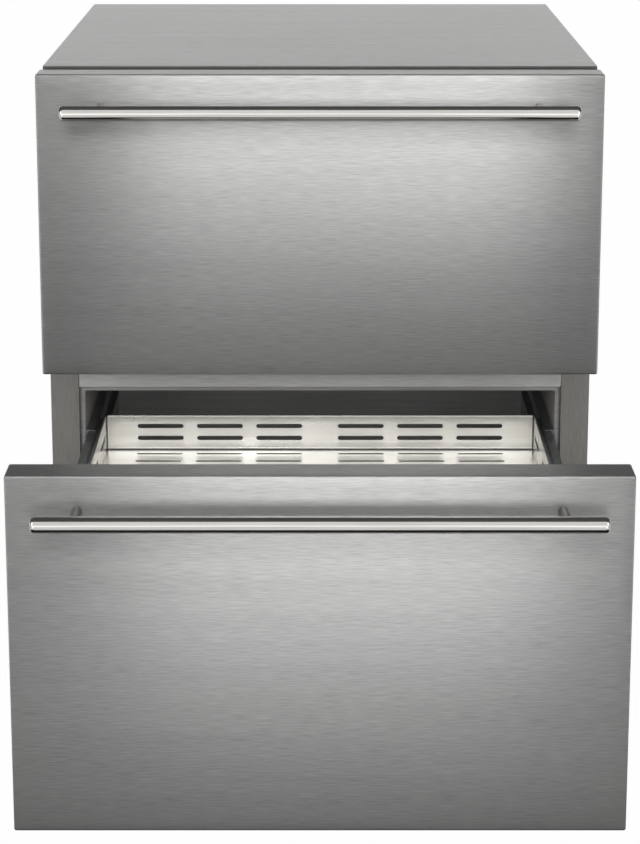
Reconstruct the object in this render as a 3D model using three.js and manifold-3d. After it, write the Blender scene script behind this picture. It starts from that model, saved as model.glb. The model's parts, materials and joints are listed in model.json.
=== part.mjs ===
// Undercounter refrigerator with two drawers, the lower one pulled out at rest.
// Millimetres, +Z up, drawer fronts facing -Y. Every piece is laid out with x = 0 on the centre plane,
// y = 0 on the face of a closed front and z = 0 on the floor. The last lines then move the whole
// cabinet along y, so that the origin is the centre of the footprint with the lower drawer out.
import * as THREE from "three";
import { mergeVertices } from "three/addons/utils/BufferGeometryUtils.js";
import Module from "manifold-3d";

const wasm = await Module();
wasm.setup();

// Overall sizes
const HEIGHT = 820;
const FRONT_WIDTH = 597;
const FRONT_OVERHANG = 3.5; // a front stands past the cabinet by this much on each side
const CABINET_DEPTH = 600;
const PANEL = 1.2; // outer panels
const SHEET = 1.5; // skins, bins and runners
const LINER = 3; // moulded liners
const RUNNING_GAP = 0.3; // between pieces that slide past each other

// Drawer fronts
const FRONT_TOP_GAP = 3;
const FRONT_GAP = 10;
const UPPER_FRONT = 325;
const LOWER_FRONT_GAP = 8; // from the top of the toe space to the lower front
const FRONT_DEPTH = 38;
const FRONT_LINER = 4;
const PLUG_DEPTH = 12; // raised middle of a front's liner, inside the gasket
const PLUG_SIDE_GAP = 12; // between the raised middle and the side walls of the liner
const SEAL_DEPTH = 6;
const SEAL_WIDTH = 11;
const SEAL_INSET = 4;

// Handles
const BAR_RADIUS = 8;
const BAR_LENGTH = 540;
const BAR_END_ROUND = 5;
const BAR_STANDOFF = 40;
const BAR_BELOW_TOP = 35;
const POST_RADIUS = 5;
const POST_INSET = 40; // from the end of the bar

// Face frame and base
const STILE_WIDTH = 31;
const FRAME_DEPTH = 20;
const TOP_RAIL = 38;
const MID_RAIL = 54;
const MID_RAIL_REVEAL = 26; // how far the mid rail reaches below the upper front
const BOTTOM_RAIL = 38;
const TOE_HEIGHT = 112;
const TOE_DEPTH = 60;
const FOOT_HEIGHT = 25;
const FLANGE = 15; // upturned edges of the base pan
const FOOT_SIDE = 40; // from the cabinet's side to a foot
const FOOT_FRONT = 36; // from the toe-kick to the front feet
const FOOT_BACK = 32; // from the back to the rear feet
const FOOT_RADIUS = 19;
const FOOT_PAD = 7;
const FOOT_CONE = 4;
const STEM_RADIUS = 5;
const STEM_ABOVE_PAN = 21;

// Compartments
const REVEAL = 6; // the liners stand this far inside and behind the face frame
const REAR_FOAM = 44; // from the back of the upper liner to the cabinet's back
const MACHINE_DEPTH = 144; // machine space at the rear
const MACHINE_FOAM = 33; // between the lower liner and the machine space
const MACHINE_BELOW_OPENING = 35;

// Drawers
const BIN_HEIGHT = 42;
const BIN_BELOW_TOP = 67; // rim of the lower bin under the top edge of its front
const UPPER_BIN_BELOW_TOP = 72;
const HEM = 3;
const RAIL_BELOW_RIM = 4;
const RAIL_LEDGE = 16;
const SLIDE_WIDTH = 12.5;
const SLIDE_HEIGHT = 45;
const SLIDE_START = 54;
const BIN_START = 60;
const UPPER_BIN_GAP = 42; // behind the upper bin, for the thermostat knob
const LOWER_BIN_GAP = 19;
const LOWER_PULL = 330; // how far the lower drawer stands out at rest

// Slots in the bins
const SLOT_LENGTH = 52;
const SLOT_HEIGHT = 5;
const SLOT_COLUMNS = [-180, -113, -46, 46, 113, 180];
const SLOT_ROWS = [13, 27]; // below the rim
const FLOOR_ROW_PITCH = 28;
const FLOOR_ROW_START = 20;
const SIDE_SLOT_PITCH = 92;

// Cooling parts
const COVER_SPACE = 67; // between the cover of the cold coil and the back of the liner
const COLD_COIL = { side: 23, behindCover: 15, depth: 43, edge: 40, besideFan: 28, rows: 4, fins: 6 };
const WARM_COIL = { side: 80, behindToe: 10, depth: 50, below: 6, width: 260, rows: 3, fins: 6 };
const COIL_TUBE = 4;
const COLD_FAN_SIDE = 73; // from the fan's axis to the liner's side
const COLD_FAN_RADIUS = 52;
const WARM_FAN_GAP = 22; // between the warm coil and its fan
const WARM_FAN_CLEARANCE = 7;
const CAN = { side: 165, behind: 73, half: 86, radius: 60, height: 160, lift: 18, seat: 5, plate: 3 };
const CAN_PLATE = [100, 62];
const CAN_FEET = [88, 50];
const TERMINALS = { low: 45, high: 95, half: 22, proud: 14 };
const TRAY = { half: [90, 60], height: 26, wall: 2 };
const LINE_RADIUS = 4;
const LINE_SIDE = 12; // from the suction line to the liner's side
const DISCHARGE_RISE = 45; // where the discharge line meets the can, above its bottom
const INLET = { side: 75, rise: 70, width: 48, height: 28, depth: 32, lip: 3.5 };
const HOUSING = { x: 0, above: 40, width: 110, height: 46, depth: 14 };
const KNOB_RADIUS = 15;
const KNOB_DEPTH = 11;

// Air slots
const BACK_VENT = { bridge: 80, margin: 53, first: 48, pitch: 38, below: 55, height: 8 };
const TOE_VENT = { columns: 4, bridge: 18, margin: 30, first: 16, pitch: 14, below: 12, height: 6 };

// Values that follow from the sizes above
const HALF = FRONT_WIDTH / 2 - FRONT_OVERHANG;
const INNER = HALF - PANEL;
const CABINET_Y = FRONT_DEPTH + SEAL_DEPTH;
const BACK_Y = CABINET_Y + CABINET_DEPTH;
const TOP_Z = HEIGHT - PANEL;
const FRAME_X = HALF - STILE_WIDTH;
const LINER_X = FRAME_X - REVEAL;
const LINER_Y = CABINET_Y + REVEAL;
const UPPER_TOP = HEIGHT - FRONT_TOP_GAP;
const UPPER_BOTTOM = UPPER_TOP - UPPER_FRONT;
const LOWER_TOP = UPPER_BOTTOM - FRONT_GAP;
const LOWER_BOTTOM = TOE_HEIGHT + LOWER_FRONT_GAP;
const MID_LOW = UPPER_BOTTOM - MID_RAIL_REVEAL;
const UPPER_OPENING = [MID_LOW + MID_RAIL, TOP_Z - TOP_RAIL];
const LOWER_OPENING = [TOE_HEIGHT + BOTTOM_RAIL, MID_LOW];
const PAN_TOP = FOOT_HEIGHT + PANEL;
const WEB_X = LINER_X - SLIDE_WIDTH; // outer face of a drawer's side rail
const BIN_X = WEB_X - SHEET - RUNNING_GAP;
const MACHINE_Y = BACK_Y - MACHINE_DEPTH;
const MACHINE_TOP = UPPER_OPENING[0] - MACHINE_BELOW_OPENING;
const UPPER_LINER_BACK = BACK_Y - REAR_FOAM;
const LOWER_LINER_BACK = MACHINE_Y - MACHINE_FOAM;
const COVER_Y = UPPER_LINER_BACK - LINER - COVER_SPACE;
const UPPER_BIN_END = COVER_Y - UPPER_BIN_GAP;
const LOWER_BIN_END = LOWER_LINER_BACK - LINER - LOWER_BIN_GAP;
const UPPER_MIDDLE = (UPPER_OPENING[0] + UPPER_OPENING[1]) / 2;
const COLD_FAN = {
  x: LINER_X - COLD_FAN_SIDE,
  z: UPPER_MIDDLE,
  radius: COLD_FAN_RADIUS,
  hub: 14,
  blades: 5,
};
const EVAPORATOR = {
  x0: COLD_COIL.side - LINER_X,
  x1: COLD_FAN.x - COLD_FAN.radius - COLD_COIL.besideFan,
  y0: COVER_Y + COLD_COIL.behindCover,
  y1: COVER_Y + COLD_COIL.behindCover + COLD_COIL.depth,
  z0: UPPER_OPENING[0] + COLD_COIL.edge,
  z1: UPPER_OPENING[1] - COLD_COIL.edge,
  rows: COLD_COIL.rows,
  fins: COLD_COIL.fins,
};
const CONDENSER = {
  x0: WARM_COIL.side - HALF,
  x1: WARM_COIL.side - HALF + WARM_COIL.width,
  y0: CABINET_Y + TOE_DEPTH + WARM_COIL.behindToe,
  y1: CABINET_Y + TOE_DEPTH + WARM_COIL.behindToe + WARM_COIL.depth,
  z0: PAN_TOP,
  z1: TOE_HEIGHT - WARM_COIL.below,
  rows: WARM_COIL.rows,
  fins: WARM_COIL.fins,
};
const WARM_FAN = {
  x: (CONDENSER.x0 + CONDENSER.x1) / 2,
  y: CONDENSER.y1 + WARM_FAN_GAP,
  z: (PAN_TOP + TOE_HEIGHT) / 2,
  radius: (TOE_HEIGHT - PAN_TOP) / 2 - WARM_FAN_CLEARANCE,
  hub: 11,
  blades: 5,
};
const CAN_X = HALF - CAN.side;
const CAN_Y = BACK_Y - CAN.behind;
const CAN_BOTTOM = PAN_TOP + CAN.lift;
const CAN_TOP = CAN_BOTTOM + CAN.height;
const SUCTION_X = LINE_SIDE - LINER_X;
const SUCTION_Y = (EVAPORATOR.y0 + EVAPORATOR.y1) / 2;
const INLET_X = INLET.side - HALF;
const INLET_Z = FOOT_HEIGHT + INLET.rise;
const FOOT_X = HALF - FOOT_SIDE;
const FOOT_Y = [CABINET_Y + TOE_DEPTH + FOOT_FRONT, BACK_Y - FOOT_BACK];

// ---- Solids ----

// A closed mesh as a solid, with its faces turned outwards.
function solid(geometry) {
  const bare = new THREE.BufferGeometry();
  bare.setAttribute("position", geometry.getAttribute("position"));
  bare.setIndex(geometry.index);
  const merged = mergeVertices(bare, 1e-4);
  const vertProperties = merged.getAttribute("position").array;
  const index = merged.index.array;
  const faces = [];
  for (let i = 0; i < index.length; i += 3) {
    const [a, b, c] = [index[i], index[i + 1], index[i + 2]];
    if (a !== b && b !== c && c !== a) faces.push([a, b, c]);
  }
  const make = (list) =>
    new wasm.Manifold(
      new wasm.Mesh({ numProp: 3, vertProperties, triVerts: new Uint32Array(list.flat()) }),
    );
  const made = make(faces);
  return made.volume() < 0 ? make(faces.map(([a, b, c]) => [a, c, b])) : made;
}

function join(first, ...rest) {
  return rest.reduce((whole, piece) => whole.add(piece), first);
}

function cut(first, ...rest) {
  return rest.reduce((whole, piece) => whole.subtract(piece), first);
}

// A box between two corners.
function boxGeometry(x0, x1, y0, y1, z0, z1) {
  const geometry = new THREE.BoxGeometry(1, 1, 1);
  const p = geometry.getAttribute("position");
  for (let i = 0; i < p.count; i++) {
    const x = p.getX(i) < 0 ? x0 : x1;
    const y = p.getY(i) < 0 ? y0 : y1;
    p.setXYZ(i, x, y, p.getZ(i) < 0 ? z0 : z1);
  }
  return geometry;
}

function box(...corners) {
  return solid(boxGeometry(...corners));
}

// A box that is as wide on both sides of the centre plane.
function wide(half, y0, y1, z0, z1) {
  return box(-half, half, y0, y1, z0, z1);
}

// An outline of (y, z), (x, z) or (x, y) points pushed along "x", "y" or "z".
function prismGeometry(points, axis, from, to) {
  const shape = new THREE.Shape(points.map(([a, b]) => new THREE.Vector2(a, b)));
  const geometry = new THREE.ExtrudeGeometry(shape, { depth: 1, bevelEnabled: false, steps: 1 });
  const p = geometry.getAttribute("position");
  for (let i = 0; i < p.count; i++) {
    const [a, b, far] = [p.getX(i), p.getY(i), p.getZ(i) > 0.5];
    if (axis === "x") p.setXYZ(i, far ? to : from, a, b);
    if (axis === "y") p.setXYZ(i, a, far ? from : to, b);
    if (axis === "z") p.setXYZ(i, a, b, far ? to : from);
  }
  return geometry;
}

function prism(...outline) {
  return solid(prismGeometry(...outline));
}

function circle(a, b, radius, sides) {
  const points = [];
  for (let i = 0; i < sides; i++) {
    const turn = ((i + 0.5) / sides) * 2 * Math.PI;
    points.push([a + radius * Math.cos(turn), b + radius * Math.sin(turn)]);
  }
  return points;
}

// A round rod along an axis, with its centre at (a, b) of the other two.
function rod(axis, a, b, radius, from, to, sides = 16) {
  return prism(circle(a, b, radius, sides), axis, from, to);
}

// The outline of a slot along the first direction, with pointed round ends.
function slot(a, b, length, height) {
  const [half, end, nose] = [height / 2, length / 2 - height * 0.35, length / 2];
  return [
    [a - nose, b],
    [a - end, b - half],
    [a + end, b - half],
    [a + nose, b],
    [a + end, b + half],
    [a - end, b + half],
  ];
}

// A profile of (radius, height) points turned about "x", "y" or "z".
function turned(profile, axis, sides, scale = [1, 1, 1], at = [0, 0, 0]) {
  const points = profile.map(([r, h]) => new THREE.Vector2(r, h));
  const geometry = new THREE.LatheGeometry(points, sides);
  const p = geometry.getAttribute("position");
  for (let i = 0; i < p.count; i++) {
    const [a, h, b] = [p.getX(i), p.getY(i), p.getZ(i)];
    if (axis === "x") p.setXYZ(i, h, b, a);
    if (axis === "y") p.setXYZ(i, a, h, b);
    if (axis === "z") p.setXYZ(i, b, a, h);
  }
  geometry.scale(...scale);
  geometry.translate(...at);
  return solid(geometry);
}

// A round tube along a smooth line through the given points.
function tube(points, radius, steps, sides = 6) {
  const path = new THREE.CatmullRomCurve3(
    points.map((p) => new THREE.Vector3(...p)),
    false,
    "centripetal",
  );
  const section = circle(0, 0, radius, sides).map(([a, b]) => new THREE.Vector2(a, b));
  const options = { steps, bevelEnabled: false, extrudePath: path };
  return solid(new THREE.ExtrudeGeometry(new THREE.Shape(section), options));
}

// Every piece is one named mesh with a finish of its own.
function place(group, name, form, finish) {
  const { vertProperties, triVerts } = form.getMesh();
  const shared = new THREE.BufferGeometry();
  shared.setAttribute("position", new THREE.BufferAttribute(new Float32Array(vertProperties), 3));
  shared.setIndex(new THREE.BufferAttribute(new Uint32Array(triVerts), 1));
  const geometry = shared.toNonIndexed();
  geometry.computeVertexNormals();
  const mesh = new THREE.Mesh(geometry, new THREE.MeshStandardMaterial(finish));
  mesh.name = name;
  group.add(mesh);
}

const BRUSHED = { color: 0xb4b5b6, roughness: 0.38, metalness: 1 };
const POLISHED = { color: 0xd2d3d2, roughness: 0.18, metalness: 1 };
const FRAME_STEEL = { color: 0x8d8783, roughness: 0.42, metalness: 1 };
const ZINC = { color: 0xa9acad, roughness: 0.4, metalness: 1 };
const DARK_LINER = { color: 0x2a2b2c, roughness: 0.45, metalness: 0 };
const BLACK_RUBBER = { color: 0x161616, roughness: 0.85, metalness: 0 };
const BLACK_PLASTIC = { color: 0x1d1e1f, roughness: 0.5, metalness: 0 };
const BLACK_PAINT = { color: 0x141516, roughness: 0.45, metalness: 0.2 };
const GREY_PLASTIC = { color: 0x8a8c8d, roughness: 0.6, metalness: 0 };
const FOAM = { color: 0xe6d9a8, roughness: 0.95, metalness: 0 };
const ALUMINIUM = { color: 0xc3c5c6, roughness: 0.45, metalness: 1 };
const COPPER = { color: 0xb06a45, roughness: 0.35, metalness: 1 };

// ---- Cabinet shell ----

function shell(cabinet) {
  place(cabinet, "top_panel", wide(HALF, CABINET_Y, BACK_Y, TOP_Z, HEIGHT), BRUSHED);
  const side = [
    [CABINET_Y + PANEL, TOE_HEIGHT],
    [CABINET_Y + TOE_DEPTH, TOE_HEIGHT],
    [CABINET_Y + TOE_DEPTH, FOOT_HEIGHT],
    [BACK_Y, FOOT_HEIGHT],
    [BACK_Y, TOP_Z],
    [CABINET_Y + PANEL, TOP_Z],
  ];
  place(cabinet, "left_side_panel", prism(side, "x", -HALF, -INNER), BRUSHED);
  place(cabinet, "right_side_panel", prism(side, "x", INNER, HALF), BRUSHED);
  place(cabinet, "back_panel", backPanel(), ZINC);
  place(cabinet, "base_pan", basePan(), ZINC);
  place(cabinet, "toe_kick_grille", toeKickGrille(), BLACK_PAINT);
}

// Rows of air slots behind the machine space and a window for the power inlet.
function backPanel() {
  const { bridge, margin, first, pitch, below, height } = BACK_VENT;
  const [start, end] = [bridge / 2, INNER - margin];
  const holes = [];
  for (let z = TOE_HEIGHT + first; z <= MACHINE_TOP - below; z += pitch) {
    for (const side of [-1, 1]) {
      const outline = slot((side * (start + end)) / 2, z, end - start, height);
      holes.push(prism(outline, "y", BACK_Y - 4, BACK_Y + 2));
    }
  }
  const [w, h] = [INLET.width / 2 + RUNNING_GAP, INLET.height / 2 + RUNNING_GAP];
  holes.push(box(INLET_X - w, INLET_X + w, BACK_Y - 4, BACK_Y + 2, INLET_Z - h, INLET_Z + h));
  return cut(wide(INNER, BACK_Y - PANEL, BACK_Y, FOOT_HEIGHT, TOP_Z), ...holes);
}

// An open tray with a round hole for each foot's stem.
function basePan() {
  const front = CABINET_Y + TOE_DEPTH + PANEL;
  const back = BACK_Y - PANEL;
  const tray = wide(INNER, front, back, FOOT_HEIGHT, PAN_TOP + FLANGE);
  const inside = wide(INNER - PANEL, front + PANEL, back - PANEL, PAN_TOP, PAN_TOP + FLANGE + 1);
  const holes = [-FOOT_X, FOOT_X].flatMap((x) =>
    FOOT_Y.map((y) => rod("z", x, y, STEM_RADIUS + RUNNING_GAP, FOOT_HEIGHT - 1, PAN_TOP + 1)),
  );
  return cut(tray, inside, ...holes);
}

function toeKickGrille() {
  const { columns, bridge, margin, first, pitch, below, height } = TOE_VENT;
  const y = CABINET_Y + TOE_DEPTH;
  const length = (2 * (INNER - margin) - (columns - 1) * bridge) / columns;
  const slots = [];
  for (let column = 0; column < columns; column++) {
    const x = margin - INNER + length / 2 + column * (length + bridge);
    for (let z = FOOT_HEIGHT + first; z <= TOE_HEIGHT - below; z += pitch) {
      slots.push(prism(slot(x, z, length, height), "y", y - 1, y + PANEL + 1));
    }
  }
  return cut(wide(INNER, y, y + PANEL, FOOT_HEIGHT, TOE_HEIGHT), ...slots);
}

// A round pad on a stem that screws through the base pan.
function feet(root) {
  const neck = FOOT_PAD + FOOT_CONE;
  const top = PAN_TOP + STEM_ABOVE_PAN;
  const profile = [
    [0, 0],
    [FOOT_RADIUS - 2, 0],
    [FOOT_RADIUS, 2],
    [FOOT_RADIUS, FOOT_PAD],
    [STEM_RADIUS + 3, neck],
    [STEM_RADIUS, neck],
    [STEM_RADIUS, top],
    [0, top],
  ];
  let count = 0;
  for (const y of FOOT_Y) {
    for (const x of [-FOOT_X, FOOT_X]) {
      count += 1;
      place(root, `levelling_foot_${count}`, turned(profile, "z", 16, [1, 1, 1], [x, y, 0]), BLACK_PLASTIC);
    }
  }
}

// ---- Face frame ----

// A stile folded from sheet, open behind. It wraps the corner and covers the side panel's edge.
function stile(side) {
  const outline = [
    [FRAME_X, CABINET_Y],
    [HALF, CABINET_Y],
    [HALF, CABINET_Y + PANEL],
    [INNER, CABINET_Y + PANEL],
    [INNER, CABINET_Y + FRAME_DEPTH],
    [FRAME_X, CABINET_Y + FRAME_DEPTH],
  ];
  const [near, far] = [FRAME_X + SHEET, INNER - SHEET].map((x) => side * x);
  const [front, back] = [CABINET_Y + SHEET, CABINET_Y + FRAME_DEPTH + 1];
  const hollow = box(
    Math.min(near, far),
    Math.max(near, far),
    front,
    back,
    TOE_HEIGHT + SHEET,
    TOP_Z - SHEET,
  );
  return cut(prism(outline.map(([x, y]) => [side * x, y]), "z", TOE_HEIGHT, TOP_Z), hollow);
}

// A rail folded from sheet, open behind.
function rail(low, high) {
  const [near, far] = [CABINET_Y, CABINET_Y + FRAME_DEPTH];
  return cut(
    wide(FRAME_X, near, far, low, high),
    wide(FRAME_X - SHEET, near + SHEET, far + 1, low + SHEET, high - SHEET),
  );
}

function faceFrame(cabinet) {
  place(cabinet, "left_stile", stile(-1), FRAME_STEEL);
  place(cabinet, "right_stile", stile(1), FRAME_STEEL);
  place(cabinet, "top_rail", rail(UPPER_OPENING[1], TOP_Z), FRAME_STEEL);
  place(cabinet, "mid_rail", rail(LOWER_OPENING[1], UPPER_OPENING[0]), BRUSHED);
  place(cabinet, "bottom_rail", rail(TOE_HEIGHT, LOWER_OPENING[0]), FRAME_STEEL);
}

// ---- Liners and insulation ----

// A moulded box, open at the front, with a narrow flange that meets the face frame.
function liner([low, high], back) {
  const [z0, z1] = [low + REVEAL, high - REVEAL];
  const flange = wide(FRAME_X, LINER_Y, LINER_Y + LINER, low, high);
  const outer = wide(LINER_X + LINER, LINER_Y, back, z0 - LINER, z1 + LINER);
  const inside = wide(LINER_X, LINER_Y - 1, back - LINER, z0, z1);
  return cut(join(flange, outer), inside);
}

const DRAIN_REACH = 20; // how far the hole for the suction line goes above the opening's lower edge

function insulation() {
  const front = CABINET_Y + FRAME_DEPTH;
  const back = BACK_Y - PANEL;
  const pocket = ([low, high], end) => {
    const wall = LINER - REVEAL;
    return wide(LINER_X + LINER, front - 1, end, low - wall, high + wall);
  };
  return cut(
    wide(INNER, front, back, TOE_HEIGHT, TOP_Z),
    pocket(UPPER_OPENING, UPPER_LINER_BACK),
    pocket(LOWER_OPENING, LOWER_LINER_BACK),
    wide(INNER + 1, MACHINE_Y, back + 1, TOE_HEIGHT - 1, MACHINE_TOP),
    rod("z", SUCTION_X, SUCTION_Y, LINE_RADIUS + 1, MACHINE_TOP - 1, UPPER_OPENING[0] + DRAIN_REACH),
  );
}

function compartments(cabinet) {
  const [low] = UPPER_OPENING;
  const drain = rod("z", SUCTION_X, SUCTION_Y, LINE_RADIUS + 1, low, low + DRAIN_REACH);
  place(cabinet, "upper_liner", cut(liner(UPPER_OPENING, UPPER_LINER_BACK), drain), DARK_LINER);
  place(cabinet, "lower_liner", liner(LOWER_OPENING, LOWER_LINER_BACK), DARK_LINER);
  place(cabinet, "foam_insulation", insulation(), FOAM);
}

// ---- Cooling parts ----

// A finned coil along x: straight tubes joined by bends at alternate ends, fins and two end plates.
function coil({ x0, x1, y0, y1, z0, z1, rows, fins }, seatY, seatZ) {
  const middle = (y0 + y1) / 2;
  const pitch = (z1 - z0) / rows;
  const level = (row) => z0 + pitch * (row + 0.5);
  const parts = [];
  for (let row = 0; row < rows; row++) {
    parts.push(rod("x", middle, level(row), COIL_TUBE, x0 - 8, x1 + 8, 6));
    if (row + 1 < rows) {
      const x = row % 2 ? x0 - 8 : x1 + 8;
      parts.push(rod("z", x, middle, COIL_TUBE, level(row), level(row + 1), 6));
    }
  }
  for (let i = 0; i < fins; i++) {
    const x = x0 + ((x1 - x0) * (i + 1)) / (fins + 1);
    parts.push(box(x - 0.6, x + 0.6, y0, y1, z0 + 4, z1));
  }
  for (const x of [x0, x1]) parts.push(box(x - 1, x + 1, y0, seatY, seatZ, z1 + 3));
  return join(...parts);
}

// Pitched blades around a hub that turns about y.
function fan({ x, z, radius, hub, blades }, y, depth) {
  const wheel = [rod("y", 0, 0, hub, 0, depth, 12)];
  const outline = [
    [-7, 0],
    [7, 0],
    [13, radius - hub - 1],
    [4, radius - hub + 2],
    [-9, radius - hub - 1],
  ];
  for (let i = 0; i < blades; i++) {
    const blade = prismGeometry(outline, "y", -0.8, 0.8);
    blade.rotateZ((32 * Math.PI) / 180);
    blade.translate(0, depth / 2, hub - 2);
    blade.rotateY((i * 2 * Math.PI) / blades);
    wheel.push(solid(blade));
  }
  const whole = join(...wheel);
  return whole.translate([x, y, z]);
}

const COLD_BLADE_Y = COVER_Y + 8;
const COLD_BLADE_DEPTH = 14;
const LINER_BACK = UPPER_LINER_BACK - LINER;

// A motor can on a cross bar whose two legs reach the liner's back wall.
function coldFanMotor() {
  const { x, z } = COLD_FAN;
  const start = COLD_BLADE_Y + COLD_BLADE_DEPTH + RUNNING_GAP;
  const bar = box(x - 60, x + 60, start + 14, start + 17, z - 9, z + 9);
  const legs = [-60, 57].map((dx) => box(x + dx, x + dx + 3, start + 14, LINER_BACK, z - 9, z + 9));
  return join(rod("y", x, z, 21, start, start + 34, 16), bar, ...legs);
}

// Panel in front of the coil, with a grille of slots before the fan and return slots below.
function evaporatorCover() {
  const { x, z, radius } = COLD_FAN;
  const [low, high] = [UPPER_OPENING[0] + REVEAL, UPPER_OPENING[1] - REVEAL];
  const slots = [];
  for (let row = -3; row <= 3; row++) {
    const length = 2 * Math.sqrt(radius ** 2 - (row * 14) ** 2);
    slots.push(prism(slot(x, z + row * 14, length, 8), "y", COVER_Y - 1, COVER_Y + 3));
  }
  for (const column of [-180, -90, 0]) {
    for (const row of [0, 1]) {
      slots.push(prism(slot(column, low + 14 + row * 12, 70, 5), "y", COVER_Y - 1, COVER_Y + 3));
    }
  }
  return cut(wide(LINER_X, COVER_Y, COVER_Y + PANEL, low, high), ...slots);
}

const HOUSING_Z = UPPER_MIDDLE + HOUSING.above;

function thermostatKnob() {
  const profile = [
    [0, 0],
    [KNOB_RADIUS - 2, 0],
    [KNOB_RADIUS, 2],
    [KNOB_RADIUS, KNOB_DEPTH],
    [0, KNOB_DEPTH],
  ];
  const y = COVER_Y - HOUSING.depth - RUNNING_GAP - KNOB_DEPTH;
  const body = turned(profile, "y", 20, [1, 1, 1], [HOUSING.x, y, HOUSING_Z]);
  const reach = KNOB_RADIUS - 3;
  const grip = box(HOUSING.x - 2, HOUSING.x + 2, y - 3, y + 1, HOUSING_Z - reach, HOUSING_Z + reach);
  return join(body, grip);
}

const WARM_BLADE_DEPTH = 12;

// A motor can on a bracket that stands on the base pan.
function warmFanMotor() {
  const { x, y, z } = WARM_FAN;
  const start = y + WARM_BLADE_DEPTH + RUNNING_GAP;
  const leg = box(x - 14, x + 14, start + 10, start + 13, PAN_TOP, z);
  const sole = box(x - 30, x + 30, start + 10, start + 34, PAN_TOP, PAN_TOP + 2);
  return join(rod("y", x, z, 17, start, start + 30, 16), leg, sole);
}

// A domed can with a terminal box, on a plate with four rubber-footed corners.
function compressor() {
  const { half, radius, seat, plate } = CAN;
  const [x, y] = [CAN_X, CAN_Y];
  const profile = [
    [0, CAN_BOTTOM],
    [radius * 0.7, CAN_BOTTOM],
    [radius * 0.96, CAN_BOTTOM + CAN.height * 0.12],
    [radius, CAN_BOTTOM + CAN.height * 0.25],
    [radius * 0.97, CAN_TOP - CAN.height * 0.26],
    [radius * 0.8, CAN_TOP - CAN.height * 0.09],
    [radius * 0.5, CAN_TOP],
    [0, CAN_TOP],
  ];
  const body = turned(profile, "z", 24, [half / radius, 1, 1], [x, y, 0]);
  const [plateX, plateY] = CAN_PLATE;
  const plateTop = PAN_TOP + seat + plate;
  const base = box(x - plateX, x + plateX, y - plateY, y + plateY, PAN_TOP + seat, plateTop);
  const [footX, footY] = CAN_FEET;
  const foot = (dx, dy) => rod("z", x + dx, y + dy, 9, PAN_TOP, plateTop - 1, 10);
  const feetOfCan = [-footX, footX].flatMap((dx) => [-footY, footY].map((dy) => foot(dx, dy)));
  const rest = box(x - 40, x + 40, y - 30, y + 30, plateTop - 1, CAN_BOTTOM + 2);
  const { low, high, half: terminalHalf, proud } = TERMINALS;
  const side = x - half;
  const terminals = box(
    side - proud,
    side + proud,
    y - terminalHalf,
    y + terminalHalf,
    CAN_BOTTOM + low,
    CAN_BOTTOM + high,
  );
  return join(body, base, rest, terminals, ...feetOfCan);
}

// Tray for defrost water, warmed by the top of the compressor.
function dripTray() {
  const [halfX, halfY] = TRAY.half;
  const [x, y, t] = [CAN_X, CAN_Y, TRAY.wall];
  const top = CAN_TOP + TRAY.height;
  const outer = box(x - halfX, x + halfX, y - halfY, y + halfY, CAN_TOP, top);
  const inside = box(x - halfX + t, x + halfX - t, y - halfY + t, y + halfY - t, CAN_TOP + t, top + 1);
  return cut(outer, inside);
}

// A recessed appliance socket with three blades, held behind the back panel by its lip.
function powerInlet() {
  const { width, height, depth, lip } = INLET;
  const [x, z, w, h, panelY] = [INLET_X, INLET_Z, width / 2, height / 2, BACK_Y - PANEL];
  const body = box(x - w, x + w, BACK_Y - depth, BACK_Y, z - h, z + h);
  const rim = box(x - w - lip, x + w + lip, panelY - 3, panelY, z - h - lip, z + h + lip);
  const well = box(x - w + 10, x + w - 10, BACK_Y - 18, BACK_Y + 1, z - h + 5, z + h - 5);
  const [near, far] = [BACK_Y - 19, BACK_Y - 3];
  const blade = (dx, dz) => box(x + dx - 1, x + dx + 1, near, far, z + dz - 2.5, z + dz + 2.5);
  return join(cut(join(body, rim), well), blade(-7, -2), blade(7, -2), blade(0, 3));
}

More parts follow.
